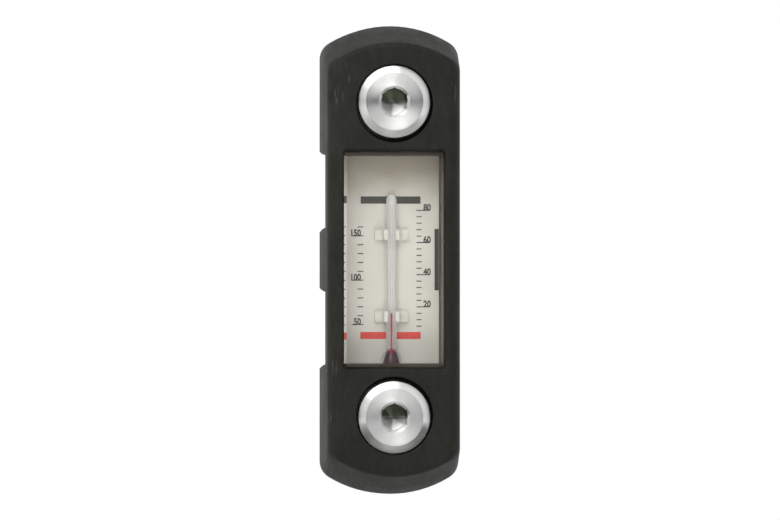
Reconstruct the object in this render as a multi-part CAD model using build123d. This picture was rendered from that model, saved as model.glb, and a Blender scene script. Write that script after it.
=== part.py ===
"""Oil level gauge with thermometer, for two screws 76 mm apart.

The gauge is drawn lying on its back: x across, y up the gauge, z out of the tank wall towards
the reader, with the tank face at z = 0. stand_up() turns it upright at the end: +Z up, the
reader on the -Y side and the screws pointing along +Y.
"""

from build123d import *
import math
import os

os.makedirs("parts", exist_ok=True)

# ---- what the gauge is bought by ----
screw_spacing = 76.0
gauge_depth = 20.0

# ---- protective frame ----
end_reach = 18.5
frame_width = 31.7
dome_radius = 27.5
shoulder_radius = 3.6
bevel_start = 8.0
bevel_height = 4.4
face_width = 31.2
face_dome_radius = 25.0
face_shoulder_radius = 3.4
face_edge_radius = 2.0
frame_lift = 0.3
front_wall = 3.0
end_wall = 2.4
window_width = 24.6
window_to_screw = 11.7
window_corner = 0.9
window_chamfer = 0.45
head_hole_diameter = 18.2
head_hole_chamfer = 0.25
collar_wall = 1.0
notch_depth = 8.0
notch_corner = 1.5
lug_height = 14.4
lug_slant = 0.8
skirt_overlap = 1.1
pad_rise = 0.65
pad_depth = 14.4
hook_height = 11.0
hook_reach = 1.0
hook_rise = 1.6
hook_lift = 0.1
rib_width = 1.2
rib_pitch = 8.0
rib_inset = 1.0

# ---- clear body ----
glass_width = 27.4
glass_end_room = 5.7
glass_dome_radius = 23.0
glass_shoulder_radius = 2.5
back_thickness = 4.0
lens_wall = 1.3
lens_front = 2.9
lens_recess = 0.8
lens_chamfer = 0.6
lens_corner = 0.9
chamber_corner = 0.6
channel_width = 21.8
channel_depth = 7.0
head_seat = 14.5
weld_rib_height = 1.0
weld_rib_wall = 1.2

# ---- scale plate and its clips ----
plate_width = 21.4
plate_tuck = 5.2
plate_thickness = 1.0
plate_corner = 1.0
plate_front = 9.2
leg_diameter = 3.0
leg_sink = 1.4
leg_x = 7.6
leg_inset = 11.0
clip_height = 2.5
clip_from_top = 9.8
clip_from_neck = 8.0
clip_reach = 4.0
clip_base = 0.9
clip_finger = 0.8
clip_lip = 0.35
clip_rise = 2.5

# ---- thermometer ----
tube_diameter = 2.5
stem_length = 37.5
neck_length = 3.3
bulb_diameter = 4.2
bulb_length = 3.4
bulb_tuck = 0.2
capillary_diameter = 0.44
bulb_wall = 0.4
reading = 8.8

# ---- hollow screws, M10 ----
thread_diameter = 10.0
thread_length = 16.0
thread_start = 1.0
tip_chamfer = 1.0
neck_diameter = 9.4
head_diameter = 17.3
head_face_diameter = 13.8
head_cone = 1.0
head_proud = 0.3
head_groove_width = 0.3
head_groove_depth = 0.15
socket_flats = 6.0
socket_depth = 4.5
socket_rim = 7.6
drill_point = 118.0
oil_bore = 4.4
oil_bore_stop = 9.5
cross_bore = 3.2
cross_bore_place = 7.4

# ---- seals ----
head_seal_inner = 11.6
head_seal_wire = 1.8
head_seal_height = 1.3
head_seal_round = 0.5
tank_seal_inner = 12.0
tank_seal_wire = 2.0
tank_seal_groove = 1.5

# ---- clearances ----
glass_clearance = 0.2
screw_clearance = 0.2
seal_clearance = 0.15
plate_clearance = 0.05
tube_clearance = 0.05
bulb_clearance = 0.35
liquid_clearance = 0.02
seat_clearance = 0.3

# ---- what follows from them ----
screw_y = screw_spacing / 2
gauge_height = screw_spacing + 2 * end_reach
face_height = gauge_height - 2 * bevel_height
window_height = screw_spacing - 2 * window_to_screw
skirt_start = window_height / 2 - skirt_overlap
lug_end = lug_height / 2
wall_under = gauge_depth - front_wall

glass_height = gauge_height - 2 * glass_end_room
glass_top = wall_under - glass_clearance
lens_top = gauge_depth - lens_recess
lens_width = window_width - 2 * glass_clearance
lens_height = window_height - 2 * glass_clearance
chamber_top = lens_top - lens_front
chamber_width = lens_width - 2 * lens_wall
chamber_height = lens_height - 2 * lens_wall
channel_top = back_thickness + channel_depth
collar_radius = head_hole_diameter / 2 + collar_wall
collar_seat = head_seat + seat_clearance
seat_radius = collar_radius + glass_clearance
screw_bore = thread_diameter + 2 * screw_clearance
hook_low = frame_lift + hook_lift
hook_top = hook_low + hook_rise

plate_height = chamber_height + 2 * plate_tuck
leg_y = plate_height / 2 - leg_inset
leg_floor = back_thickness - leg_sink
leg_places = [(x, y) for x in (leg_x, -leg_x) for y in (leg_y, -leg_y)]

tube_axis = plate_front + tube_diameter / 2 + tube_clearance
bulb_shoulder = -chamber_height / 2 - bulb_tuck
bulb_bottom = bulb_shoulder - bulb_length
neck_bottom = bulb_shoulder + neck_length
tube_top = neck_bottom + stem_length
liquid_top = neck_bottom + reading
clip_places = (tube_top - clip_from_top, neck_bottom + clip_from_neck)
head_top = gauge_depth + head_proud


def stand_up(shape):
    """Turn a piece from lying on its back to how it hangs on the tank."""
    return shape.rotate(Axis.X, 90)


def slab(outline, low, high):
    """A flat outline made solid between two heights above the tank face."""
    return extrude(Pos(0, 0, low) * outline, amount=high - low)


def disc(diameter, low, high, y=0.0, x=0.0):
    return slab(Pos(x, y) * Circle(diameter / 2), low, high)


def domed(width, height, dome, corner):
    """Outline with straight sides, one arc at each end and rounded shoulders."""
    w = width / 2
    h = height / 2
    shoulder = h - dome + math.sqrt(dome**2 - w**2)
    right = Line((w, -shoulder), (w, shoulder))
    top = ThreePointArc((w, shoulder), (0, h), (-w, shoulder))
    left = Line((-w, shoulder), (-w, -shoulder))
    bottom = ThreePointArc((-w, -shoulder), (0, -h), (w, -shoulder))
    outline = make_face(Curve() + [right, top, left, bottom])
    return fillet(outline.vertices(), corner)


def glass_outline(grow=0.0):
    """The clear body's outline, which the frame and the back plate follow."""
    return domed(
        glass_width + 2 * grow,
        glass_height + 2 * grow,
        glass_dome_radius + grow,
        glass_shoulder_radius + grow,
    )


def channel_outline(shrink=0.0):
    """The long oil channel, which runs from screw to screw."""
    return SlotCenterToCenter(screw_spacing, channel_width - 2 * shrink, rotation=90)


def frame_skin(grow=0.0):
    """Outside of the frame: straight at the tank, then sloping in towards the face."""
    foot = domed(frame_width + 2 * grow, gauge_height, dome_radius, shoulder_radius)
    face = domed(face_width + 2 * grow, face_height, face_dome_radius, face_shoulder_radius)
    skin = slab(foot, frame_lift, bevel_start)
    return skin + loft([Pos(0, 0, bevel_start) * foot, Pos(0, 0, gauge_depth) * face], ruled=True)


def foot_room(grow=0.0):
    """Outline of the frame's hollow at the tank, one end wall inside the skin."""
    return domed(
        glass_width + 2 * glass_clearance + 2 * grow,
        gauge_height - 2 * end_wall + 2 * grow,
        dome_radius - end_wall + grow,
        shoulder_radius - end_wall + grow,
    )


def frame_hollow():
    """Room for the clear body, which narrows towards the front like the skin."""
    hollow = slab(foot_room(), 0, bevel_start)
    roof = Pos(0, 0, wall_under) * glass_outline(glass_clearance)
    return hollow + loft([Pos(0, 0, bevel_start) * foot_room(), roof], ruled=True)


def end_ribs():
    """Ribs in both ends of the frame, which centre the clear body."""
    strips = Sketch() + [
        Pos(x, 0) * Rectangle(rib_width, gauge_height) for x in (-rib_pitch, 0, rib_pitch)
    ]
    ribs = slab(foot_room(end_wall / 3) & strips, frame_lift + rib_inset, wall_under)
    return ribs - slab(glass_outline(glass_clearance), 0, gauge_depth)


def side_pads():
    """Raised pads on both long sides, which make the skirts and the centre lugs."""
    inner = frame_width / 2 - pad_rise
    wall = frame_width / 2
    out = wall + pad_rise
    end = gauge_height / 2
    section = make_face(
        Polyline(
            (inner, frame_lift),
            (out, frame_lift),
            (out, pad_depth - pad_rise),
            (wall, pad_depth),
            (inner, pad_depth),
            close=True,
        )
    )
    lug = Polyline((inner, 0), (out, 0), (out, lug_end - lug_slant), (wall, lug_end), (inner, lug_end), close=True)
    skirt = Polyline(
        (inner, skirt_start),
        (wall, skirt_start),
        (out, skirt_start + pad_rise),
        (out, end),
        (inner, end),
        close=True,
    )
    bar = extrude(Plane.XZ * section, amount=end, both=True)
    pad = bar & slab(make_face(lug) + make_face(skirt), 0, gauge_depth)
    pad += mirror(pad, about=Plane.XZ)
    pad += mirror(pad, about=Plane.YZ)
    return pad & frame_skin(pad_rise)


def side_notches():
    """Openings through the long sides, between the skirts and the centre lug."""
    width = skirt_start - lug_end
    opening = RectangleRounded(width, 2 * notch_depth, notch_corner)
    middle = (skirt_start + lug_end) / 2
    openings = Sketch() + [Pos(y, 0) * opening for y in (middle, -middle)]
    return extrude(Plane.YZ * openings, amount=frame_width, both=True)


def snap_hooks():
    """Hooks inside the centre lugs, which catch the ledges of the back plate."""
    wall = glass_width / 2 + glass_clearance
    root = (wall + frame_width / 2) / 2
    tip = wall - hook_reach
    side = make_face(
        Polyline(
            (root, hook_low),
            (wall, hook_low),
            (tip, hook_low + hook_rise / 2),
            (tip, hook_top),
            (root, hook_top),
            close=True,
        )
    )
    hook = extrude(Plane.XZ * side, amount=hook_height / 2, both=True)
    return hook + mirror(hook, about=Plane.YZ)


def cover_frame():
    """Protective frame: one moulding with window, head holes, skirts, notches, lugs and hooks."""
    skin = frame_skin()
    skin = fillet(skin.faces().sort_by(Axis.Z)[-1].edges(), face_edge_radius)
    body = skin + side_pads() - frame_hollow() + (end_ribs() & skin)
    for y in (screw_y, -screw_y):
        body += disc(2 * collar_radius, collar_seat, wall_under + 0.1, y)
    body -= side_notches()
    body += snap_hooks()

    window = RectangleRounded(window_width, window_height, window_corner)
    body -= slab(window, wall_under - 1, gauge_depth + 1)
    body -= loft(
        [
            Pos(0, 0, gauge_depth - window_chamfer) * window,
            Pos(0, 0, gauge_depth)
            * RectangleRounded(
                window_width + 2 * window_chamfer,
                window_height + 2 * window_chamfer,
                window_corner + window_chamfer,
            ),
        ],
        ruled=True,
    )
    for y in (screw_y, -screw_y):
        body -= disc(head_hole_diameter, collar_seat - 1, gauge_depth + 1, y)
        edge = gauge_depth - head_hole_chamfer / 2
        body -= Pos(0, y, edge) * Cone(
            head_hole_diameter / 2, head_hole_diameter / 2 + head_hole_chamfer, head_hole_chamfer
        )
    return body


def seal_seat(y):
    """Groove round a screw for the head seal, cut down from the head's seat."""
    inner = head_seal_inner / 2 - seal_clearance
    outer = head_seal_inner / 2 + head_seal_wire + seal_clearance
    ring = Pos(0, y) * (Circle(outer) - Circle(inner))
    return slab(ring, head_seat - head_seal_height, head_seat)


def bulb_pocket():
    """Room above the channel for the thermometer's bulb, below the window."""
    width = bulb_diameter + 2 * bulb_clearance
    low = bulb_bottom - bulb_clearance
    high = -chamber_height / 2 + 1
    top = tube_axis + bulb_diameter / 2 + bulb_clearance
    return slab(Pos(0, (low + high) / 2) * Rectangle(width, high - low), channel_top - 1, top)


def sight_glass():
    """Clear body: flange under the frame, window block, oil chamber and screw seats."""
    body = slab(glass_outline(), back_thickness, glass_top)
    lens = slab(RectangleRounded(lens_width, lens_height, lens_corner), glass_top - 1, lens_top)
    body += chamfer(lens.faces().sort_by(Axis.Z)[-1].edges(), lens_chamfer)
    body -= slab(channel_outline(), back_thickness - 1, channel_top)
    body -= slab(RectangleRounded(chamber_width, chamber_height, chamber_corner), channel_top - 1, chamber_top)
    body -= bulb_pocket()
    for y in (screw_y, -screw_y):
        body -= disc(2 * seat_radius, head_seat, gauge_depth, y)
        body -= disc(screw_bore, 0, gauge_depth, y)
        body -= seal_seat(y)
    return body


def back_plate():
    """Rear cover, welded to the clear body; its outer face is the gauge's tank face."""
    body = slab(glass_outline(), 0, back_thickness)
    rib = channel_outline(plate_clearance) - channel_outline(plate_clearance + weld_rib_wall)
    body += slab(rib, back_thickness - 0.5, back_thickness + weld_rib_height)
    outer = tank_seal_inner / 2 + tank_seal_wire + seal_clearance
    inner = tank_seal_inner / 2 - seal_clearance
    for y in (screw_y, -screw_y):
        body -= disc(screw_bore, -1, back_thickness + 2, y)
        body -= slab(Pos(0, y) * (Circle(outer) - Circle(inner)), 0, tank_seal_groove)
    ledge = hook_top + glass_clearance
    width = 2 * hook_reach
    for side in (1, -1):
        pocket = Pos(side * glass_width / 2, 0) * Rectangle(width, hook_height + 1)
        body -= slab(pocket, -1, ledge)
    for x, y in leg_places:
        body -= disc(leg_diameter + 2 * plate_clearance, leg_floor, back_thickness + 1, y, x)
    return body


def clip(y):
    """One pair of cheeks on the scale plate, hooked over the tube from both sides."""
    wall = tube_diameter / 2 + tube_clearance
    top = plate_front + clip_rise
    half = clip_height / 2
    cheek = make_face(
        Polyline(
            (wall, plate_front - 0.2),
            (clip_reach, plate_front - 0.2),
            (clip_reach, plate_front + clip_base),
            (wall + clip_finger, plate_front + clip_base),
            (wall + clip_finger, top - 0.3),
            (wall + clip_finger - 0.3, top),
            (wall - clip_lip, top),
            (wall - clip_lip, top - 0.25),
            (wall, top - 0.7),
            close=True,
        )
    )
    right = Pos(0, y + half, 0) * extrude(Plane.XZ * cheek, amount=clip_height)
    return right + mirror(right, about=Plane.YZ)


def scale_plate():
    """White plate that carries the printed scales, on four legs pressed in the back plate."""
    body = slab(
        RectangleRounded(plate_width, plate_height, plate_corner), plate_front - plate_thickness, plate_front
    )
    slot_top = neck_bottom
    slot_width = bulb_diameter + 2 * bulb_clearance
    body -= slab(
        Pos(0, slot_top - slot_width / 2) * Circle(slot_width / 2)
        + Pos(0, slot_top - slot_width / 2 - plate_height / 2) * Rectangle(slot_width, plate_height),
        0,
        plate_front + 1,
    )
    for x, y in leg_places:
        body += disc(leg_diameter, leg_floor, plate_front - plate_thickness / 2, y, x)
    for y in clip_places:
        body += clip(y)
    return body


def upright(profile):
    """Spin a half outline, drawn beside the y axis, round the tube's own axis."""
    return Pos(0, 0, tube_axis) * revolve(profile, Axis.Y)


def thermometer_liquid():
    """Red spirit in the bulb and in the capillary up to today's reading."""
    bore = capillary_diameter / 2 - liquid_clearance
    bulb = bulb_diameter / 2 - bulb_wall - liquid_clearance
    low = bulb_bottom + bulb_wall + liquid_clearance
    return upright(bulb_shape(bore, bulb, low, liquid_top, liquid_clearance))


def bulb_shape(stem, bulb, low, high, taper=0.0):
    """Half outline with a thin stem, a cone and a bulb with a round end."""
    start = bulb_shoulder - taper
    return make_face(
        Curve()
        + [
            Line((0, high), (stem, high)),
            Line((stem, high), (stem, neck_bottom - taper)),
            Line((stem, neck_bottom - taper), (bulb, start)),
            Line((bulb, start), (bulb, low + bulb)),
            RadiusArc((bulb, low + bulb), (0, low), bulb),
            Line((0, low), (0, high)),
        ]
    )


def thermometer_tube():
    """Glass tube with a round top, a capillary and a hollow bulb."""
    stem = tube_diameter / 2
    outside = upright(bulb_shape(stem, bulb_diameter / 2, bulb_bottom, tube_top - stem))
    outside += Pos(0, tube_top - stem, tube_axis) * Sphere(stem)
    bore = capillary_diameter / 2
    hollow = upright(
        bulb_shape(bore, bulb_diameter / 2 - bulb_wall, bulb_bottom + bulb_wall, tube_top - 2 * stem)
    )
    return outside - hollow


def hollow_screw(y):
    """Hollow M10 screw: head with a hexagon socket, neck, and oil bores from chamber to tank."""
    r = head_diameter / 2
    face = head_face_diameter / 2
    neck = neck_diameter / 2
    thread = thread_diameter / 2
    tip = -thread_start - thread_length
    profile = make_face(
        Polyline(
            (0, tip),
            (thread - tip_chamfer, tip),
            (thread, tip + tip_chamfer),
            (thread, -thread_start),
            (neck, -thread_start + (thread - neck)),
            (neck, head_seat),
            (r, head_seat),
            (r, head_top - head_cone),
            (face, head_top),
            (face, head_top - head_groove_depth),
            (face - head_groove_width, head_top - head_groove_depth),
            (face - head_groove_width, head_top),
            (0, head_top),
            close=True,
        )
    )
    body = revolve(Plane.XZ * profile, Axis.Z)
    cone = (oil_bore / 2) / math.tan(math.radians(drill_point / 2))
    body -= slab(Circle(oil_bore / 2), tip, oil_bore_stop)
    body -= Pos(0, 0, oil_bore_stop + cone / 2) * Cone(oil_bore / 2, 0, cone)
    body -= Pos(0, 0, cross_bore_place) * Rot(90, 0, 0) * Cylinder(cross_bore / 2, thread_diameter)
    hexagon = RegularPolygon(socket_flats / 2, 6, major_radius=False, rotation=30)
    body -= slab(hexagon, head_top - socket_depth, head_top)
    rim = (socket_rim - socket_flats) / 2
    body -= Pos(0, 0, head_top - rim / 2) * Cone(socket_flats / 2, socket_rim / 2, rim)
    return Pos(0, y, 0) * body


def head_seal(y):
    """O-ring under a screw head, squeezed flat between the groove's floor and the head."""
    flat = Pos(head_seal_inner / 2 + head_seal_wire / 2, 0) * RectangleRounded(
        head_seal_wire, head_seal_height, head_seal_round
    )
    ring = revolve(Plane.XZ * flat, Axis.Z)
    return Pos(0, y, head_seat - head_seal_height / 2) * ring


def tank_seal(y):
    """O-ring in its groove in the tank face, standing proud until the screws are tightened."""
    ring = Torus(tank_seal_inner / 2 + tank_seal_wire / 2, tank_seal_wire / 2)
    return Pos(0, y, tank_seal_groove - tank_seal_wire / 2) * ring


pieces = {
    "cover_frame": cover_frame(),
    "sight_glass": sight_glass(),
    "back_plate": back_plate(),
    "scale_plate": scale_plate(),
    "thermometer_tube": thermometer_tube(),
    "thermometer_liquid": thermometer_liquid(),
    "hollow_screw_upper": hollow_screw(screw_y),
    "hollow_screw_lower": hollow_screw(-screw_y),
    "head_seal_upper": head_seal(screw_y),
    "head_seal_lower": head_seal(-screw_y),
    "tank_seal_upper": tank_seal(screw_y),
    "tank_seal_lower": tank_seal(-screw_y),
}

for name, shape in pieces.items():
    export_step(stand_up(shape), f"parts/{name}.step")
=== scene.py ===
# %% [markdown]
# # An oil level gauge, dressed for its picture
# The gauge is a black moulded frame over a clear body. Behind the window sit a white plate with
# printed scales and a small spirit thermometer. Two turned and plated screws clamp it to a tank.
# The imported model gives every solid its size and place. This lesson adds what the solids leave out:
# finishes, a fuller skin for the frame, print, screw threads, light and a camera. Lengths are in
# metres, or in millimetres where a cell says so; +Z is up, and the reader looks along +Y.

import math

import bmesh
import bpy
from mathutils import Matrix, Vector


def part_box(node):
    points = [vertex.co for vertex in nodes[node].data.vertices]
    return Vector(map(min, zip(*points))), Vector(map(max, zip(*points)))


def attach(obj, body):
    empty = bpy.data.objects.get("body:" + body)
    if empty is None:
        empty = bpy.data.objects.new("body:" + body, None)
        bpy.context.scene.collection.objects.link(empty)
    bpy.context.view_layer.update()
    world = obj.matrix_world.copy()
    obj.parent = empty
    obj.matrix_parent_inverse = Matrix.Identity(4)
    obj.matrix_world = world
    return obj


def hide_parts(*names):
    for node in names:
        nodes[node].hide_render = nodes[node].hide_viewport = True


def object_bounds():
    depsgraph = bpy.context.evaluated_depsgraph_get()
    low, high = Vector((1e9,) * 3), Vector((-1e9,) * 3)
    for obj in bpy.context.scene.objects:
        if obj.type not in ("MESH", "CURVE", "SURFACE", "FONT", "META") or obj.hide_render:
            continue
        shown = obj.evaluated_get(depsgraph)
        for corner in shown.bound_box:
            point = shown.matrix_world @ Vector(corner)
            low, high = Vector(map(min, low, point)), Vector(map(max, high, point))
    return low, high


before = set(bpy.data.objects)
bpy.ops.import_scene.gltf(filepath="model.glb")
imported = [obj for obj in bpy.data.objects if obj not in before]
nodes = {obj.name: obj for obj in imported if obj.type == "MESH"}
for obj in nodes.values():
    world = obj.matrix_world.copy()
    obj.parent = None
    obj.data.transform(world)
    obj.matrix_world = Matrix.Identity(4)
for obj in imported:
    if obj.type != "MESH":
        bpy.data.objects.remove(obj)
cad_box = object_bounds()
MM = 0.001
print("CAD box in mm:", [[round(v / MM, 2) for v in corner] for corner in cad_box])

# %% [markdown]
# ## Sizes read from the model
# The frame's new skin, the threads and the spirit have to land on their solids, so their places
# come from the boxes of the loaded pieces. A box is safer than a second list of sizes, because it
# follows the model when the model changes.

# %% Read the places that the rest of the lesson needs
tube_low, tube_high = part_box("thermometer_tube")
liquid_low, liquid_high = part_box("thermometer_liquid")
screw_low, screw_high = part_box("hollow_screw_upper")
frame_low, frame_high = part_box("cover_frame")

front_y = frame_low[1]
screw_z = (screw_low[2] + screw_high[2]) / 2
print("screws at z = +/-", round(screw_z / MM, 2), "mm, front at y =", round(front_y / MM, 2), "mm")

# %% [markdown]
# ## Camera
# A small product is often shown from far away with a long lens, which keeps its sides
# parallel. The camera stands a little to the left of the gauge, so the left skirt of the frame
# shows, and a touch below its middle.


# %% Place the camera
def aim(thing, place, target):
    """Turn a camera or lamp at place towards target."""
    thing.location = place
    thing.rotation_euler = (Vector(target) - Vector(place)).to_track_quat("-Z", "Y").to_euler()


def around(azimuth, elevation, distance, target):
    """A point that far from target; azimuth 0 is in front of the gauge and 90 to its right."""
    a, e = math.radians(azimuth), math.radians(elevation)
    way = Vector((math.sin(a) * math.cos(e), -math.cos(a) * math.cos(e), math.sin(e)))
    return Vector(target) + way * distance


LENS = 600.0
VIEW_DISTANCE = 3.128
view_target = Vector((-1.11 * MM, front_y, -0.13 * MM))
camera = bpy.data.objects.new("camera", bpy.data.cameras.new("camera"))
camera.data.lens = LENS
camera.data.clip_start, camera.data.clip_end = 0.01, 20.0
aim(camera, around(-5.0, -0.6, VIEW_DISTANCE, view_target), view_target)
bpy.context.scene.collection.objects.link(camera)
bpy.context.scene.camera = camera
print("camera stands", VIEW_DISTANCE, "m away with a", LENS, "mm lens")

# %% [markdown]
# ## A small language for finishes
# A finish is a sum of patterns: a cloudy tone, minus some scuffs, plus a fine grain. Blender
# writes such sums as boxes and wires, which are slow to read. The three classes below let them be
# written as plain sums instead. `Value` stands for one output of a node and knows how to add,
# take away, multiply and compare. `Nodes` makes the nodes that a world or a material consists of,
# and `Finish` is one material with its shader.


# %% Write node sums as Python expressions
class Value:
    """One output of a node, which can be used in sums with numbers and other outputs."""

    def __init__(self, finish, socket):
        self.finish, self.socket = finish, socket

    def math(self, operation, *values):
        """A Math node that works on these numbers and values."""
        return self.finish.node("ShaderNodeMath", {"operation": operation}, dict(enumerate(values)))

    def __add__(self, other):
        return self.math("ADD", self, other)

    def __sub__(self, other):
        return self.math("SUBTRACT", self, other)

    def __rsub__(self, other):
        return self.math("SUBTRACT", other, self)

    def __mul__(self, other):
        return self.math("MULTIPLY", self, other)

    def __pow__(self, other):
        return self.math("POWER", self, other)

    def __gt__(self, other):
        return self.math("GREATER_THAN", self, other)

    def __lt__(self, other):
        return self.math("LESS_THAN", self, other)

    def __abs__(self):
        return self.math("ABSOLUTE", self)

    __radd__ = __add__
    __rmul__ = __mul__

    def at_most(self, other):
        """The smaller one of this and another value."""
        return self.math("MINIMUM", self, other)

    def at_least(self, other):
        """The larger one of this and another value."""
        return self.math("MAXIMUM", self, other)

    def out(self, name):
        """Another output of the same node."""
        return Value(self.finish, self.socket.node.outputs[name])

    def ramp(self, low, high, bottom=0.0, top=1.0):
        """Follow this value smoothly from bottom, at low, to top, at high."""
        return self.finish.node(
            "ShaderNodeMapRange",
            {"interpolation_type": "SMOOTHSTEP"},
            {0: self, 1: low, 2: high, 3: bottom, 4: top},
        )


class Nodes:
    """The nodes of a world or a material."""

    def __init__(self, tree, output):
        self.tree = tree
        self.tree.nodes.clear()
        self.output = self.tree.nodes.new(output)

    def show(self, surface):
        self.tree.links.new(surface.socket, self.output.inputs["Surface"])

    def node(self, kind, settings=None, sockets=None, out=0):
        """Add a node: first its settings, then the numbers or links of its sockets."""
        made = self.tree.nodes.new(kind)
        for key, value in (settings or {}).items():
            setattr(made, key, value)
        for key, value in (sockets or {}).items():
            self.feed(made.inputs[key], value)
        return Value(self, made.outputs[out])

    def feed(self, socket, value):
        """Link a value to a socket, or write a number or colour into it."""
        if isinstance(value, Value):
            self.tree.links.new(value.socket, socket)
        elif socket.type == "RGBA" and len(value) == 3:
            socket.default_value = (*value, 1.0)
        else:
            socket.default_value = value

    def blend(self, under, over, share):
        """Two colours mixed: all under where share is 0 and all over where it is 1."""
        sockets = {0: share, 6: under, 7: over}
        return self.node("ShaderNodeMix", {"data_type": "RGBA"}, sockets, out=2)

    def place(self, scale=(1.0, 1.0, 1.0), shift=(0.0, 0.0, 0.0)):
        """The gauge's own coordinates in metres, stretched by scale and moved."""
        where = self.node("ShaderNodeTexCoord").out("Object")
        sockets = {"Vector": where, "Scale": scale, "Location": shift}
        return self.node("ShaderNodeMapping", {}, sockets)

    def axes(self, where=None):
        """Three values, along X, Y and Z: the gauge's own coordinates, unless others are given."""
        parts = self.node("ShaderNodeSeparateXYZ", {}, {"Vector": where or self.place()})
        return [parts.out(axis) for axis in "XYZ"]

    def cloud(self, size, detail=3.0, roughness=0.5, where=None):
        """Soft noise whose lumps are about size metres across, from 0 to 1."""
        where = where or self.place()
        sockets = {"Vector": where, "Scale": 1 / size, "Detail": detail, "Roughness": roughness}
        return self.node("ShaderNodeTexNoise", {}, sockets)

    def bump(self, height, depth, strength=1.0):
        """Dents and ridges: height is a pattern from 0 to 1, depth its full height in metres."""
        sockets = {"Height": height, "Distance": depth, "Strength": strength}
        return self.node("ShaderNodeBump", {}, sockets)

    def seen(self, *kinds):
        """1 for rays of these kinds, such as Camera or Glossy, and 0 for all others."""
        rays = self.node("ShaderNodeLightPath")
        share = rays.out(f"Is {kinds[0]} Ray")
        for kind in kinds[1:]:
            share = share.at_least(rays.out(f"Is {kind} Ray"))
        return share


class Finish(Nodes):
    """One material: a Principled shader and the nodes that feed it."""

    def __init__(self, name, **constants):
        self.material = bpy.data.materials.new(name)
        self.material.use_nodes = True
        super().__init__(self.material.node_tree, "ShaderNodeOutputMaterial")
        self.shader = self.node("ShaderNodeBsdfPrincipled")
        self.show(self.shader)
        self.paint(**constants)

    def paint(self, **values):
        """Feed the shader's sockets; an underscore stands for a space in a socket's name."""
        for key, value in values.items():
            self.feed(self.shader.socket.node.inputs[key.replace("_", " ")], value)

    def let_lamps_through(self, colour):
        """Rays from lamps pass straight through in this colour; all others see the shader."""
        straight = self.node("ShaderNodeBsdfTransparent", {}, {"Color": colour})
        choice = {0: self.seen("Shadow"), 1: self.shader, 2: straight}
        self.show(self.node("ShaderNodeMixShader", {}, choice))


def dress(finish, *names):
    """Give a finish to every material slot of these pieces of the model."""
    for name in names:
        for slot in nodes[name].material_slots:
            slot.material = finish.material
    print(finish.material.name, "on", ", ".join(names))


# %% [markdown]
# ## Light
# A dark frame, a clear window and bright metal each need something else from the light. Metal and
# glass show what stands round them, so the world is white for the camera and for mirrored and
# bent rays. What lights the matt surfaces is dimmer, so that colours render about as written.
# Three soft lamps shape the rest: one hangs high for the upper bevel and the plate, one stands at
# the left for the skirts, and one lies low for the lower bevel. The left one isn't mirrored, since
# the screw heads would show it as a hard patch.

# %% Make the world
world = bpy.data.worlds.new("studio")
bpy.context.scene.world = world
world.use_nodes = True
WORLD_FOR_MATT = 0.50
MIRRORED = ("Camera", "Glossy", "Transmission")
sky = Nodes(world.node_tree, "ShaderNodeOutputWorld")
level = WORLD_FOR_MATT + (1.0 - WORLD_FOR_MATT) * sky.seen(*MIRRORED)
sky.show(sky.node("ShaderNodeBackground", {}, {"Color": (1.0, 1.0, 1.0), "Strength": level}))
print("matt surfaces get", WORLD_FOR_MATT, "of the white that the camera sees")


# %% Hang the lamps
def lamp(name, place, size, power, colour, mirrored=True):
    """A rectangle of light at a place, turned to the middle of the gauge."""
    light = bpy.data.lights.new(name, "AREA")
    light.shape = "RECTANGLE"
    light.size, light.size_y = size
    light.energy = power
    light.color = colour
    holder = bpy.data.objects.new(name, light)
    holder.visible_glossy = mirrored
    bpy.context.scene.collection.objects.link(holder)
    aim(holder, place, middle)
    print(name, "gives", power, "W from", [round(v, 2) for v in place])


middle = Vector((0.0, -0.01, 0.0))
LAMP_AWAY = 0.6
lamp("lamp_high", around(-20, 44, LAMP_AWAY, middle), (0.5, 0.4), 1.75, (1.0, 0.99, 0.97))
lamp("lamp_left", around(-75, 5, LAMP_AWAY, middle), (0.3, 0.5), 1.6, (1.0, 0.99, 0.96), False)
lamp("lamp_low", around(0, -45, LAMP_AWAY, middle), (0.5, 0.25), 1.4, (1.0, 0.98, 0.95))

# %% [markdown]
# ## Dark cards
# Polished metal with only white round it looks like chalk. In a real studio the dark side of the
# room shows in it as well, and that gives the metal its depth. Two cards stand for it: one wide
# and low behind the camera, and one lying in front of the gauge and below it. Only mirrored rays
# see them, so they darken no matt surface and stand in no picture. Their edges fade out.


# %% Stand the cards
def sheet(name, centre, across, up):
    """A flat rectangle of the set, spanned by across and up from its centre."""
    centre, across, up = Vector(centre), Vector(across), Vector(up)
    corners = [centre + across * i + up * j for i, j in ((-1, -1), (1, -1), (1, 1), (-1, 1))]
    mesh = bpy.data.meshes.new(name)
    mesh.from_pydata([tuple(c) for c in corners], [], [(0, 1, 2, 3)])
    made = bpy.data.objects.new(name, mesh)
    bpy.context.scene.collection.objects.link(made)
    print(name, "is", round(across.length * 2, 2), "by", round(up.length * 2, 2), "m")
    return made


def card(name, centre, across, up):
    """A black sheet with faded edges, which only mirrored rays see."""
    made = sheet(name, centre, across, up)
    cloth = Finish(name, Roughness=1.0)
    parts = cloth.axes(cloth.node("ShaderNodeTexCoord").out("Generated"))
    inside = 1.0
    for part, *spans in zip(parts, across, up):
        if any(spans):
            inside = abs(part - 0.5).ramp(0.30, 0.5, bottom=1.0, top=0.0) * inside
    black = cloth.node("ShaderNodeEmission", {}, {"Strength": 0.0})
    through = cloth.node("ShaderNodeBsdfTransparent", {}, {"Color": (1.0, 1.0, 1.0)})
    cloth.show(cloth.node("ShaderNodeMixShader", {}, {0: inside, 1: through, 2: black}))
    made.data.materials.append(cloth.material)
    for ray in ("camera", "diffuse", "transmission", "shadow"):
        setattr(made, "visible_" + ray, False)


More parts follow.
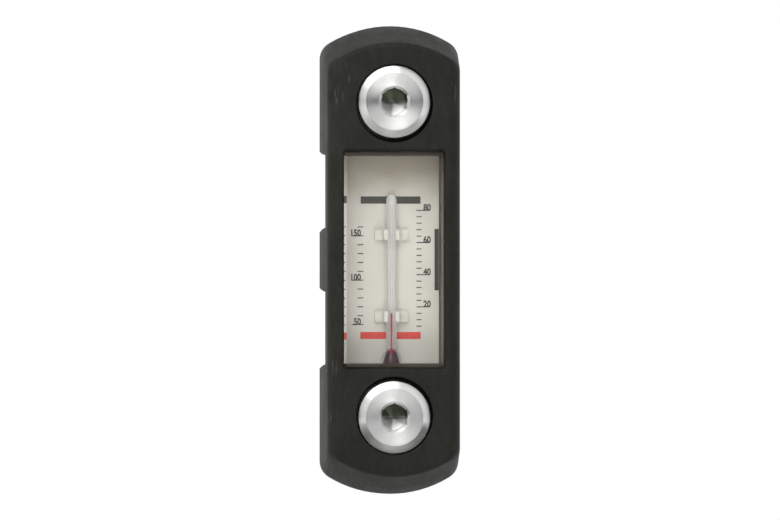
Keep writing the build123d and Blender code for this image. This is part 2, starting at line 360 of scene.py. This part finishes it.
CARD_DROP = 0.024
card("card_behind_camera", (0, -4.0, 0), (5.2, 0, 0), (0, 0, 0.8))
card("card_in_front", (0, -0.082, cad_box[0][2] - CARD_DROP), (0.3, 0, 0), (0, 0.065, 0))

# %% [markdown]
# ## Floor
# The gauge hangs on a tank wall in use, so here it hangs in the air a little above a pale floor.
# Under the gauge it keeps a soft share of the shadow, and further away it turns as white as the
# world, so that no edge shows where they meet. The floor throws no shadow itself, because the low
# lamp shines up through it.

# %% Lay the floor
FLOOR_GAP = 0.025
FLOOR_HALF = 3.0
FLOOR_WHITE = 0.8
WHITE_FROM, WHITE_AT = 0.05, 0.45
floor_z = cad_box[0][2] - FLOOR_GAP
floor = sheet("floor", (0, 0, floor_z), (FLOOR_HALF, 0, 0), (0, FLOOR_HALF, 0))
floor.visible_shadow = False

paper = Finish("paper_floor", Roughness=0.9, Base_Color=(0.86, 0.86, 0.85))
glow = paper.node("ShaderNodeEmission", {}, {"Color": (1.0, 1.0, 1.0), "Strength": 1.0})
x, y, _ = paper.axes()
away = (x * x + y * y) ** 0.5
white_share = away.ramp(WHITE_FROM, WHITE_AT, bottom=FLOOR_WHITE, top=1.0)
choice = {0: paper.seen(*MIRRORED) * white_share, 1: paper.shader, 2: glow}
paper.show(paper.node("ShaderNodeMixShader", {}, choice))
floor.data.materials.append(paper.material)
print("floor lies", FLOOR_GAP / MM, "mm under the gauge")

# %% [markdown]
# ## Frame: moulded nylon
# The frame is one moulding in black nylon filled with glass fibre. The mould was spark-eroded, so
# the skin is matt with a very fine grain. Fibre near the skin makes cloudy greyer patches, and
# handling leaves a few pale scuffs. These dents are finer than a hair, so a bump pattern makes
# them; bevels, edges and notches are real shapes, and come next.

# %% Finish the frame
nylon = Finish("frame_nylon", IOR=1.5)
cloudy = nylon.cloud(9 * MM, detail=4.0)
fibre = nylon.cloud(1.1 * MM, detail=2.0, where=nylon.place(scale=(1.0, 1.0, 0.35)))
grain = nylon.cloud(0.14 * MM, detail=2.0)
scuff_field = nylon.cloud(6 * MM, detail=2.0, where=nylon.place(shift=(0.3, 0.1, 0.2)))
scuff_lines = nylon.cloud(0.5 * MM, detail=3.0, where=nylon.place(scale=(1.0, 1.0, 0.12)))
scuffs = scuff_field.ramp(0.58, 0.72) * scuff_lines.ramp(0.56, 0.68)
tone = cloudy.ramp(0.3, 0.7) * 0.6 + fibre.ramp(0.35, 0.65) * 0.4
skin = nylon.blend((0.0080, 0.0083, 0.0064), (0.0145, 0.0147, 0.0118), tone)
nylon.paint(
    Base_Color=nylon.blend(skin, (0.060, 0.058, 0.052), scuffs * 0.6),
    Roughness=0.56 - 0.08 * tone + 0.12 * grain,
    Specular_IOR_Level=0.20,
    Normal=nylon.bump(grain * 0.7 + scuffs * 0.3, 0.02 * MM),
)
print(nylon.material.name, "is", len(nylon.tree.nodes), "nodes")

# %% [markdown]
# ## Frame: its moulded skin
# The solid frame carries its skirts and lugs as low pads with a step. On the real moulding the
# flank runs in one sweep from the tank to a wide rounding at the front, and the notches between
# lug and skirts have slanted ends. So a copy of the solid frame gets a new skin. The skin is a
# stack of outlines, one for each depth: straight up to the bevel, drawn in along the bevel, then
# rounded tightly over the ends and widely along the sides. Everything inside stays as it was. The
# sizes of the skin are in millimetres, and a depth is measured from the tank to the front.


# %% Tools for building solids
def from_faces(bm, name):
    """A loose piece from built faces."""
    bmesh.ops.recalc_face_normals(bm, faces=bm.faces)
    mesh = bpy.data.meshes.new(name)
    bm.to_mesh(mesh)
    bm.free()
    made = bpy.data.objects.new(name, mesh)
    bpy.context.scene.collection.objects.link(made)
    return made


def copy_of(node, name):
    """A loose copy of a piece of the model, with closed seams and without its stored normals."""
    bm = bmesh.new()
    bm.from_mesh(nodes[node].data)
    bmesh.ops.remove_doubles(bm, verts=bm.verts, dist=1e-7)
    made = from_faces(bm, name)
    stored = made.data.attributes.get("custom_normal")
    if stored:
        made.data.attributes.remove(stored)
    return made


def loft(name, *stacks):
    """Closed solids, one for each stack of rings of points; the rings of a stack have one count."""
    bm = bmesh.new()
    for rings in stacks:
        loops = [[bm.verts.new(point) for point in ring] for ring in rings]
        for one, two in zip(loops, loops[1:]):
            for k in range(len(one)):
                m = (k + 1) % len(one)
                bm.faces.new((one[k], one[m], two[m], two[k]))
        bm.faces.new(loops[0])
        bm.faces.new(reversed(loops[-1]))
    return from_faces(bm, name)


def open_edges(piece):
    """How many edges lie on one face only or on more than two, which a closed solid has none of."""
    bm = bmesh.new()
    bm.from_mesh(piece.data)
    count = sum(not edge.is_manifold for edge in bm.edges)
    bm.free()
    return count


def combine(piece, operation, tool):
    """Join, cut or trim a piece with another one, which is used up."""
    step = piece.modifiers.new(operation, "BOOLEAN")
    step.operation, step.solver, step.object = operation, "EXACT", tool
    bpy.context.view_layer.update()
    seen = bpy.context.evaluated_depsgraph_get()
    mesh = bpy.data.meshes.new_from_object(piece.evaluated_get(seen))
    piece.modifiers.clear()
    piece.data = mesh
    bpy.data.objects.remove(tool)
    print(piece.name, operation.lower(), "leaves", open_edges(piece), "open edges")


def settle(made, finish, node=None, sharp=None):
    """Give a made piece its finish and let it ride on the gauge, maybe in place of a node.

    Edges that turn by more than sharp degrees stay crisp and the others shade smoothly.
    """
    made.data.materials.clear()
    made.data.materials.append(finish.material)
    if sharp:
        made.data.shade_smooth()
        made.data.set_sharp_from_angle(angle=math.radians(sharp))
    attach(made, "root")
    if node:
        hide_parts(node)
    print(made.name, "has", len(made.data.polygons), "faces")


# %% Draw the outline of the gauge at any depth
BEVEL_START, BEVEL_HEIGHT = 8.0, 4.4
SIDE_RADIUS, END_RADIUS = 3.2, 0.9
DOME, DOME_LESS = 27.5, 2.5
SHOULDER, SHOULDER_LESS = 4.6, 0.5
FACE_WIDE = 15.95
ARC_STEPS = 8
depth_front = -front_y / MM
foot_wide, foot_high = frame_high[0] / MM, frame_high[2] / MM


def outline(wide, high, dome, shoulder, depth):
    """Half width, half height, the radius of the domed ends and that of their shoulders, in mm."""
    centre = high - dome
    up = math.sqrt((dome - shoulder) ** 2 - (wide - shoulder) ** 2)
    lean = math.atan2(wide - shoulder, up)
    quarter = []
    for i in range(ARC_STEPS + 1):
        a = math.pi / 2 - (math.pi / 2 - lean) * i / ARC_STEPS
        x, z = shoulder * math.sin(a), shoulder * math.cos(a)
        quarter.append((wide - shoulder + x, centre + up + z))
    for i in range(1, ARC_STEPS + 1):
        a = lean * (1 - i / ARC_STEPS)
        quarter.append((dome * math.sin(a), centre + dome * math.cos(a)))
    half = quarter + [(-x, z) for x, z in reversed(quarter[:-1])]
    ring = half + [(-x, -z) for x, z in half]
    return [(x * MM, -depth * MM, z * MM) for x, z in ring]


def rounding(radius, depth):
    """How far an edge rounded with this radius has drawn in at a depth."""
    rise = max(0.0, depth - (depth_front - radius))
    return radius - math.sqrt(max(0.0, radius**2 - rise**2))


def skin_ring(depth, inset=0.0):
    """The gauge's outline at a depth from the tank, drawn in by inset."""
    along = max(0.0, (depth - BEVEL_START) / (depth_front - BEVEL_START))
    wide = foot_wide + (FACE_WIDE - foot_wide) * along - rounding(SIDE_RADIUS, depth)
    high = foot_high - BEVEL_HEIGHT * along - rounding(END_RADIUS, depth)
    dome = DOME - DOME_LESS * along
    shoulder = SHOULDER - SHOULDER_LESS * along
    return outline(wide - inset, high - inset, dome - inset, shoulder - inset, depth)


def skin(name, start, end, inset=0.0):
    """A solid with the gauge's outline from one depth to another, with rings at each turn."""
    turns = [(SIDE_RADIUS, a) for a in range(0, 91, 9)]
    turns += [(END_RADIUS, a) for a in range(0, 90, 15)]
    depths = [depth_front - radius * (1 - math.sin(math.radians(a))) for radius, a in turns]
    inner = {round(d, 4) for d in (BEVEL_START, *depths) if start < d < end}
    return loft(name, [skin_ring(d, inset) for d in sorted(inner | {start, end})])


print("outline has", len(skin_ring(0.0)), "points and is", round(foot_wide * 2, 2), "mm wide")

# %% [markdown]
# The new skin is a thin shell over the copy. Its front is left open inside the border, so that the
# window and the screw holes of the solid stay as they are. At last the joined piece is trimmed to
# the skin's outer shape, so that none of the old edges stands out of it.

# %% Lay the skin on the frame
SHELL_WALL, SHELL_FRONT = 1.4, 1.5
MIDDLE_WIDE, MIDDLE_HIGH, MIDDLE_DOME, MIDDLE_SHOULDER = 12.6, 50.0, 25.0, 3.0
BEYOND = 1.0  # a tool stands this far past what it cuts
LIFT = -frame_high[1] / MM

shell = skin("shell", LIFT, depth_front)
inside = skin("inside", LIFT - BEYOND, depth_front - SHELL_FRONT, SHELL_WALL)
combine(shell, "DIFFERENCE", inside)
middle_sizes = (MIDDLE_WIDE, MIDDLE_HIGH, MIDDLE_DOME, MIDDLE_SHOULDER)
open_middle = loft("middle", [outline(*middle_sizes, d) for d in (0.0, depth_front + BEYOND)])
combine(shell, "DIFFERENCE", open_middle)
moulding = copy_of("cover_frame", "cover_frame_moulded")
combine(moulding, "UNION", shell)
combine(moulding, "INTERSECT", skin("trim", LIFT - 0.5 * BEYOND, depth_front))

# %% [markdown]
# The notches are cut next, and then a shallow relief in front of each, which sets the lug and the
# skirts off from the flank. A relief ends a hair short of its notch at both ends, since a boolean
# cut is unsure where two faces coincide.

# %% Cut the notches and their reliefs
LUG_END, SKIRT_START = 7.65, 25.3
NOTCH_DEPTH, NOTCH_SLANT, NOTCH_REACH = 11.4, 1.0, 2.33
RELIEF_BACK, RELIEF_RISE, RELIEF_REACH, RELIEF_BEYOND = 1.1, 0.2, 0.45, 1.3
HAIR = 0.01


def block(x, depths, z, slant=0.0):
    """Rings of a box between pairs of x, depth and z in mm; slant widens z at the first depth."""
    rings = []
    for depth, more in zip(depths, (slant, 0.0)):
        low, high = z[0] - more, z[1] + more
        corners = ((x[0], low), (x[1], low), (x[1], high), (x[0], high))
        rings.append([(i * MM, -depth * MM, h * MM) for i, h in corners])
    return rings


def at_flanks(depths, reach, beyond, low, high, slant=0.0):
    """Four boxes, at the left and right flank below and above the lug, that go in by reach."""
    boxes = []
    for side in (-1, 1):
        for up in (-1, 1):
            x = sorted((side * (foot_wide + beyond), side * (foot_wide - reach)))
            boxes.append(block(x, depths, sorted((up * low, up * high)), slant))
    return boxes


span = (-BEYOND, NOTCH_DEPTH)
notches = at_flanks(span, NOTCH_REACH, BEYOND, LUG_END, SKIRT_START, NOTCH_SLANT)
span = (NOTCH_DEPTH - RELIEF_BACK, depth_front - SIDE_RADIUS + RELIEF_RISE)
reliefs = at_flanks(span, RELIEF_REACH, RELIEF_BEYOND, LUG_END + HAIR, SKIRT_START - HAIR)
combine(moulding, "DIFFERENCE", loft("notches", *notches))
combine(moulding, "DIFFERENCE", loft("reliefs", *reliefs))

# %% [markdown]
# Round each screw head the hole opens a little more on the window's side, where a black gap shows.

# %% Open the pockets round the screw heads
POCKET_RADIUS, POCKET_Z, POCKET_DEPTHS = 9.35, 37.5, (15.6, 21.0)


def circle(centre, radius, count, axis="Y"):
    """Points on a circle round a centre, in metres, square to the Y or the Z axis."""
    x, y, z = centre
    turn = [2 * math.pi * i / count for i in range(count)]
    if axis == "Y":
        return [(x + radius * math.cos(a), y, z + radius * math.sin(a)) for a in turn]
    return [(x + radius * math.cos(a), y + radius * math.sin(a), z) for a in turn]


pockets = []
for up in (-1, 1):
    centres = [(0.0, -depth * MM, up * POCKET_Z * MM) for depth in POCKET_DEPTHS]
    pockets.append([circle(centre, POCKET_RADIUS * MM, 96) for centre in centres])
combine(moulding, "DIFFERENCE", loft("pockets", *pockets))
settle(moulding, nylon, "cover_frame", sharp=24)

# %% [markdown]
# ## Clear body and back cover
# The body is moulded in clear polyamide and the cover is welded on behind it. Light has to reach
# the plate inside, and lamps don't find their way through bent glass by themselves. So rays from
# lamps pass straight through, and all other rays see real clear plastic, which bends and mirrors.
# Past the chamber's right wall and its two ends the body is ground, and its colour is painted darker
# there as painted shade, for the black frame that these walls mirror. The cover is tinted like smoke.


# %% Finish the clear parts
CHAMBER_WIDE, CHAMBER_HIGH = 11.7, 25.15
FADE_FROM, FADE_TO = 0.20 * MM, 0.10 * MM
GROUND = 0.55


def clear(name, tint, roughness, ripple, walls=None):
    """Clear plastic; right of, above and below the places in walls it is ground and painted darker,
    as painted shade.
    """
    finish = Finish(name, IOR=1.49, Transmission_Weight=1.0)
    flow = finish.cloud(7 * MM, detail=1.0, where=finish.place(scale=(1.0, 1.0, 0.4)))
    rough = roughness + finish.cloud(3 * MM, detail=3.0) * roughness
    colour = tint
    if walls:
        # Painted shade: the colour is darkened past the right wall and the ends, for the black frame
        # that they mirror; GROUND only adds roughness.
        x, _, z = finish.axes()
        share = 0.0
        for far, wall in zip((x, abs(z)), walls):
            share = far.ramp(wall - FADE_FROM, wall - FADE_TO) + share
        share = share.at_most(1.0)
        colour = finish.blend(tint, (0.10, 0.085, 0.065), share)
        rough = rough + share * GROUND
    finish.paint(Base_Color=colour, Roughness=rough, Normal=finish.bump(flow, ripple))
    finish.let_lamps_through((0.98, 0.98, 0.97))
    return finish


walls = (CHAMBER_WIDE * MM, CHAMBER_HIGH * MM)
body_clear = clear("clear_body", (0.97, 0.97, 0.955), 0.012, 0.02 * MM, walls)
dress(clear("back_clear", (0.30, 0.30, 0.28), 0.08, 0.03 * MM), "back_plate")

# %% [markdown]
# ## Scale plate
# The plate is a satin white moulding. It isn't pure white: it has a warm grey tone that is a little
# uneven, as thin moulded plastic is where it flowed round its legs. Toward its upper end a brown
# painted shadow lies over it, where the frame's upper edge shades it, and past the chamber's ends it
# is painted dark as shade. Both are painted into the plate's own colour, so they stay in place when
# the gauge is seen from another side.

# %% Finish the plate
TOP_SHADOW_FROM, TOP_SHADOW_TO, TOP_SHADOW_MOST = 14 * MM, 27 * MM, 0.8
END_SHADE_FROM, END_SHADE_TO = 24.9 * MM, 25.2 * MM

white = Finish("plate_white", IOR=1.5)
tone = white.cloud(8 * MM, detail=3.0).ramp(0.3, 0.7)
speck = white.cloud(0.35 * MM, detail=2.0)
_, _, height = white.axes()
# Painted shadow: the plate is darkened and browned towards its top, where the frame's upper edge
# shades it.
top_shadow = (height + white.cloud(5 * MM) * (6 * MM)).ramp(TOP_SHADOW_FROM, TOP_SHADOW_TO) * TOP_SHADOW_MOST
plain = white.blend((0.565, 0.552, 0.510), (0.605, 0.592, 0.550), tone)
top_shaded = white.blend(plain, (0.27, 0.230, 0.170), top_shadow)
white.paint(
    # Painted shade: past the chamber's ends the plate is painted nearly black.
    Base_Color=white.blend(top_shaded, (0.12, 0.112, 0.098), abs(height).ramp(END_SHADE_FROM, END_SHADE_TO)),
    Roughness=0.42 + 0.12 * speck,
    Normal=white.bump(speck, 0.008 * MM),
)
print(white.material.name, "is", len(white.tree.nodes), "nodes")

# %% [markdown]
# The plate nearly fills the window from side to side, between thin walls of the clear body. So
# copies of the plate and of the body are widened by most of a millimetre a side: the plate by
# moving its long edges out, the body by cutting its chamber wider. Beyond the chamber's ends the
# plate lies in a channel, and painted shade on it shows as a dark line at both ends of the window.

# %% Widen the plate and the chamber
PLATE_SHIFT = 0.9 * MM
PLATE_EDGE = 9.2 * MM
CHAMBER_DEPTHS = (3.9, 16.8)
CHANNEL_DEPTHS, CHANNEL_HIGH = (3.8, 9.6), 30.1

wide_plate = copy_of("scale_plate", "scale_plate_wide")
for vertex in wide_plate.data.vertices:
    if abs(vertex.co.x) > PLATE_EDGE:
        vertex.co.x += math.copysign(PLATE_SHIFT, vertex.co.x)
wide_glass = copy_of("sight_glass", "sight_glass_wide")
across = (-CHAMBER_WIDE, CHAMBER_WIDE)
room = block(across, CHAMBER_DEPTHS, (-CHAMBER_HIGH, CHAMBER_HIGH))
channel = block(across, CHANNEL_DEPTHS, (-CHANNEL_HIGH, CHANNEL_HIGH))
combine(wide_glass, "DIFFERENCE", loft("room", room))
combine(wide_glass, "DIFFERENCE", loft("channel", channel))
settle(wide_plate, white, "scale_plate", sharp=8)
settle(wide_glass, body_clear, "sight_glass", sharp=8)

# %% [markdown]
# ## Printed scales
# The scales are screen printed on the plate. Ink stands up a little, so every line is a thin
# raised block on the plate's front face, not a painted texture: it stays sharp at any size. The
# right scale is in degrees Celsius and the left one in degrees Fahrenheit. Bars mark the highest
# and the lowest oil level. A short dark mark at each long edge, beside the lug, is painted shade of
# the lug, laid as black ink. Lengths on the plate are in millimetres from the middle of the gauge.

# %% Lay out the scales
PLATE_FRONT, INK = 9.2, 0.03


def celsius(t):
    """Height of a temperature on the right scale, in mm."""
    return -11.33 + (t - 20) * 0.3885


def fahrenheit(t):
    """Height of a temperature on the left scale, in mm."""
    return -15.6 + (t - 50) * 0.214


print("0 to 80 C spans", round(celsius(80) - celsius(0), 2), "mm")


# %% Mix the inks
def ink(name, colour):
    """Screen ink: satin, with a slightly patchy cover."""
    finish = Finish(name, IOR=1.5)
    patch = finish.cloud(0.6 * MM, detail=3.0).ramp(0.3, 0.7)
    lighter = tuple(c * 1.25 + 0.01 for c in colour)
    finish.paint(
        Base_Color=finish.blend(colour, lighter, patch),
        Roughness=0.4 + 0.15 * patch,
        Normal=finish.bump(patch, 0.004 * MM),
    )
    print(name, "is", len(finish.tree.nodes), "nodes")
    return finish


black_ink = ink("ink_black", (0.016, 0.014, 0.011))
red_ink = ink("ink_red", (0.56, 0.032, 0.018))


# %% Print the lines and the bars
TICK = 0.24
LEVEL_HIGH, LEVEL_LOW = 14.45, -18.25
LUG_SHADE_Z, LUG_SHADE_HIGH = 0.05, 14.8


def bar(left, right, z, height):
    """A thin block of ink between left and right, centred on height z, in mm."""
    return block((left, right), (PLATE_FRONT, PLATE_FRONT + INK), (z - height / 2, z + height / 2))


def printed(name, finish, *bars):
    settle(loft(name, *bars), finish)


ticks = []
for t in range(8, 81, 4):
    ticks.append(bar(6.18, 9.45 if t % 20 == 0 else 7.42, celsius(t), TICK))
for t in range(50, 161, 10):
    ticks.append(bar(-9.5 if t % 50 == 0 else -8.1, -6.7, fahrenheit(t), TICK))
printed("scale_lines", black_ink, *ticks)
printed("level_bar_high", black_ink, bar(-7.35, 7.15, LEVEL_HIGH, 1.75))
printed("level_bar_low", red_ink, bar(-7.45, 7.17, LEVEL_LOW, 1.7))
# Painted shade: dark marks where the lugs shade the plate's long edges, made as black ink.
right_lug_shade = bar(10.55, 11.55, LUG_SHADE_Z, LUG_SHADE_HIGH)
left_lug_shade = bar(-11.4, -11.05, LUG_SHADE_Z, LUG_SHADE_HIGH)
printed("lug_shade_marks", black_ink, right_lug_shade, left_lug_shade)

# %% [markdown]
# ## Numerals
# Blender's own typeface is as plain as the figures on such plates. Each number is set as text,
# given the ink's thickness, stretched to its place, turned to face the reader and joined into one
# mesh per scale.

# %% Set the numerals
NUMBER_HEIGHT, NUMBER_LIFT = 1.72, -0.14
FIGURE_SHARE = 0.72  # of the type size is a figure's height
BOLDER = 0.05


def numeral(text, left, right, z):
    """One number as a mesh that fills the box from left to right and from z upwards, in mm."""
    height = NUMBER_HEIGHT * MM
    curve = bpy.data.curves.new("numeral", "FONT")
    curve.body = text
    curve.size = height / FIGURE_SHARE
    curve.offset = BOLDER * height
    curve.extrude = INK * MM / 2
    curve.resolution_u = 3
    holder = bpy.data.objects.new("numeral", curve)
    bpy.context.scene.collection.objects.link(holder)
    bpy.context.view_layer.update()
    seen = bpy.context.evaluated_depsgraph_get()
    mesh = bpy.data.meshes.new_from_object(holder.evaluated_get(seen))
    bpy.data.objects.remove(holder)
    xs, zs = [v.co.x for v in mesh.vertices], [v.co.y for v in mesh.vertices]
    wide, high = (right - left) * MM / (max(xs) - min(xs)), height / (max(zs) - min(zs))
    fit = Matrix.Diagonal((wide, high, 1.0, 1.0))
    mesh.transform(fit @ Matrix.Translation((-min(xs), -min(zs), 0.0)))
    corner = Matrix.Translation((left * MM, -(PLATE_FRONT + INK / 2) * MM, z * MM))
    mesh.transform(corner @ Matrix.Rotation(math.pi / 2, 4, "X"))
    return mesh


def numbers(name, rows):
    """A scale's numbers, from rows of text, left, right and the height of the line below it."""
    bm = bmesh.new()
    for text, left, right, z in rows:
        mesh = numeral(text, left, right, z + NUMBER_LIFT)
        bm.from_mesh(mesh)
        bpy.data.meshes.remove(mesh)
    settle(from_faces(bm, name), black_ink)


numbers("celsius_numbers", [(str(t), 7.85, 9.65, celsius(t)) for t in (20, 40, 60, 80)])
rows = [("50", -9.0), ("100", -9.63), ("150", -9.63)]
rows = [(text, left, -7.27, fahrenheit(int(text))) for text, left in rows]
numbers("fahrenheit_numbers", rows)

# %% [markdown]
# ## Thermometer
# The tube is plain glass with a rounded top. It is given a lower index than glass, so that it bends
# the plate behind it no more than it does in oil. Inside, just behind the bore, lies a strip of
# white enamel. The round glass widens it until the whole tube looks milky, and the red thread
# stands out against it.

# %% Finish the tube
tube = Finish("tube_glass", IOR=1.12, Roughness=0.03, Transmission_Weight=1.0)
ripple = tube.bump(tube.cloud(4 * MM, detail=1.0), 0.01 * MM)
tube.paint(Base_Color=(0.97, 0.98, 0.98), Normal=ripple)
tube.let_lamps_through((0.92, 0.93, 0.93))
dress(tube, "thermometer_tube")

# %% Lay the enamel strip
NECK = tube_low[2] + 7.0 * MM
TUBE_RADIUS = 1.25 * MM
ENAMEL_OUTER, ENAMEL_INNER = 0.95 * TUBE_RADIUS, 0.78 * TUBE_RADIUS
tube_x = (tube_low[0] + tube_high[0]) / 2
tube_y = (tube_low[1] + tube_high[1]) / 2
dome_z = tube_high[2] - TUBE_RADIUS

enamel = Finish("enamel_white", IOR=1.5, Roughness=0.4)
milky = enamel.blend((0.56, 0.55, 0.545), (0.63, 0.62, 0.61), enamel.cloud(3 * MM))
enamel.paint(Base_Color=milky)


def crescent(z, share):
    """The strip's section at height z, at a share of its full size."""
    arc = [math.radians(a) for a in range(5, 176, 10)]
    points = [(ENAMEL_OUTER * share, a) for a in arc]
    points += [(ENAMEL_INNER * share, a) for a in reversed(arc)]
    return [(tube_x + r * math.cos(a), tube_y + r * math.sin(a), z) for r, a in points]


tips = ((NECK, 0.8), (NECK + 0.8 * MM, 1.0), (dome_z, 1.0), (tube_high[2] - 0.25 * MM, 0.5))
strip = loft("tube_enamel", [crescent(z, share) for z, share in tips])
settle(strip, enamel)

# %% [markdown]
# The spirit is dyed red. In the thin bore it shows as a fine line, and in the bulb it is so deep
# that it looks nearly black. The real bulb is filled to its wall, so the liquid is made anew as a
# stack of rings: full in the bulb, drawn in at the neck and thin in the bore.

# %% Fill the thermometer
THREAD, FULL = 0.20 * MM, 1.92 * MM
foot, top = liquid_low[2], liquid_high[2]
neck = NECK - 0.3 * MM

spirit = Finish("spirit_red", IOR=1.36, Roughness=0.08)
_, _, height = spirit.axes()
deep = height.ramp(NECK - 1.5 * MM, NECK + 0.5 * MM, bottom=1.0, top=0.0)
thin = spirit.blend((0.50, 0.020, 0.045), (0.42, 0.016, 0.040), spirit.cloud(2 * MM, detail=1.0))
spirit.paint(Base_Color=spirit.blend(thin, (0.040, 0.008, 0.014), deep))

shape = [(foot, 0.5 * FULL), (foot + 0.3 * MM, 0.75 * FULL), (foot + 1.2 * MM, FULL)]
shape += [(neck - 3.3 * MM, FULL), (neck - 0.4 * MM, 0.55 * FULL)]
shape += [(neck, 0.5 * MM), (neck + 0.3 * MM, THREAD), (top, THREAD)]
column = [circle((tube_x, tube_y, z), radius, 32, axis="Z") for z, radius in shape]
liquid = loft("thermometer_liquid_full", column)
settle(liquid, spirit, "thermometer_liquid", sharp=50)

# %% [markdown]
# ## Screws: turned and plated steel
# A lathe tool leaves rings on the head, finer than the eye can part. They spread each highlight
# across the rings, so the face shows bright fans above and below its centre. Rings that fine can't
# be shapes, so the shader's anisotropy makes the fans, and a shallow bump pattern of rings a third
# of a millimetre apart and finer breaks them up a little. Bright zinc plating lies over them, with
# a faint cloudy tone. The upper half of the socket is painted dark, as painted shade. The pattern
# turns round each screw's axis, so a screw has its own coordinates, with Z out of its head.


# %% Finish the screws
HEAD_TOP = -screw_low[1]
SOCKET_CORNER = 3.62 * MM
SOCKET_MOUTH, SOCKET_END = HEAD_TOP - 0.6 * MM, HEAD_TOP - 7.0 * MM
RING_GAP = 0.35 * MM


def zinc(name):
    """Turned and plated steel, with painted shade in the upper half of the socket."""
    finish = Finish(name, Metallic=1.0, IOR=1.5, Anisotropic=0.93, Anisotropic_Rotation=0.25)
    x, up, out = finish.axes()
    radius = (x * x + up * up) ** 0.5
    wobble = radius + finish.cloud(2.5 * MM, detail=1.0) * (0.03 * MM)
    rings = finish.node(
        "ShaderNodeTexNoise",
        {"noise_dimensions": "1D"},
        {"W": wobble, "Scale": 1 / RING_GAP, "Detail": 3.0, "Roughness": 0.6},
    )
    tone = finish.cloud(3.5 * MM, detail=3.0).ramp(0.3, 0.7)
    fine = finish.cloud(0.25 * MM, detail=2.0)
    plated = finish.blend((0.74, 0.755, 0.74), (0.85, 0.86, 0.845), tone * 0.5 + rings * 0.5)
    inside = (radius < SOCKET_CORNER) * (out < SOCKET_MOUTH) * (out > SOCKET_END)
    # Painted shade: the upper half of the socket is painted dark, for the dark surroundings that its
    # walls mirror.
    cloudy_up = up + finish.cloud(1.6 * MM) * (1.4 * MM)
    socket_shade = inside * cloudy_up.ramp(0.0, 1.2 * MM, bottom=0.05, top=1.0)
    finish.paint(
        Base_Color=finish.blend(plated, (0.075, 0.085, 0.062), socket_shade),
        Roughness=0.26 + 0.06 * tone + 0.04 * fine,
        Normal=finish.bump(rings, 0.004 * MM, 0.8),
    )
    return finish


# %% [markdown]
# ## Screws: threads
# The solid screws have plain shanks of the thread's outer diameter. A real thread is a groove
# that climbs round the shank, so a copy of each screw has one cut in: a V-shaped cutter is swept
# along a helix and taken away from the copy. This is how a lathe makes it. A cone takes a little
# more from the socket's floor, where the drill that made it had its point.

# %% Make the thread cutter and the drill point
PITCH, STEPS = 1.5 * MM, 48
THREAD_RADIUS, THREAD_DEPTH = 5.0 * MM, 0.80 * MM
THREAD_FROM, THREAD_TO = 1.9 * MM, 17.6 * MM
RUN_IN = 0.75  # of a turn, over which the groove gets deep
START_OUT, TOOL_OUT = 0.25 * MM, 0.30 * MM
TIP, TOOL_WIDE = 0.06 * MM, 0.44 * PITCH
SOCKET_DEPTH, SOCKET_BACK = 4.4 * MM, 0.1 * MM
DRILL_RADIUS, DRILL_SLOPE = 2.9 * MM, 0.6


def thread_cutter(z):
    """A V-shaped bar wound along the shank, wider outside than the groove it cuts."""
    rings = []
    outer = THREAD_RADIUS + TOOL_OUT
    for i in range(int((THREAD_TO - THREAD_FROM) / PITCH * STEPS) + 1):
        a = 2 * math.pi * i / STEPS
        y = THREAD_FROM + PITCH * i / STEPS
        fade = min(1.0, i / (STEPS * RUN_IN))
        root = THREAD_RADIUS + START_OUT - (THREAD_DEPTH + START_OUT) * fade
        half = TOOL_WIDE * (outer - root) / (THREAD_DEPTH + TOOL_OUT) + TIP
        section = ((root, -TIP), (root, TIP), (outer, half), (outer, -half))
        rings.append([(r * math.cos(a), y + dy, z + r * math.sin(a)) for r, dy in section])
    return loft("thread_cutter", rings)


def drill_point(z):
    """The cone that a twist drill leaves in the floor of the socket."""
    floor_y = SOCKET_DEPTH + SOCKET_BACK - HEAD_TOP
    shape = [(0.02 * MM, floor_y + DRILL_RADIUS * DRILL_SLOPE)]
    shape += [(DRILL_RADIUS, floor_y), (DRILL_RADIUS, floor_y - 0.2 * MM)]
    return loft("drill_point", [circle((0.0, y, z), radius, 48) for radius, y in shape])


print("thread cutter makes", round((THREAD_TO - THREAD_FROM) / PITCH, 1), "turns")

# %% Cut both screws
for node, z in (("hollow_screw_upper", screw_z), ("hollow_screw_lower", -screw_z)):
    screw = copy_of(node, f"{node}_threaded")
    combine(screw, "DIFFERENCE", thread_cutter(z))
    combine(screw, "DIFFERENCE", drill_point(z))
    stand = Matrix.Translation((0.0, 0.0, z)) @ Matrix.Rotation(math.pi / 2, 4, "X")
    screw.data.transform(stand.inverted())
    screw.matrix_world = stand
    settle(screw, zinc(f"{node}_zinc"), node, sharp=28)

# %% [markdown]
# ## Seals
# Nitrile rings are dull black with a fine bloom of grey. They hardly show, so the solids stay as
# they are and only get a finish.

# %% Finish the seals
rubber = Finish("seal_rubber", IOR=1.5)
bloom = rubber.cloud(0.8 * MM, detail=3.0).ramp(0.35, 0.75)
rubber.paint(
    Base_Color=rubber.blend((0.014, 0.014, 0.014), (0.032, 0.032, 0.031), bloom),
    Roughness=0.55 + 0.2 * bloom,
    Normal=rubber.bump(rubber.cloud(0.12 * MM), 0.01 * MM),
)
dress(rubber, "head_seal_upper", "head_seal_lower", "tank_seal_upper", "tank_seal_lower")

# %% [markdown]
# ## Last look
# The picture is kept in plain display colours.

# %% Keep plain display colours
bpy.context.scene.view_settings.view_transform = "Standard"
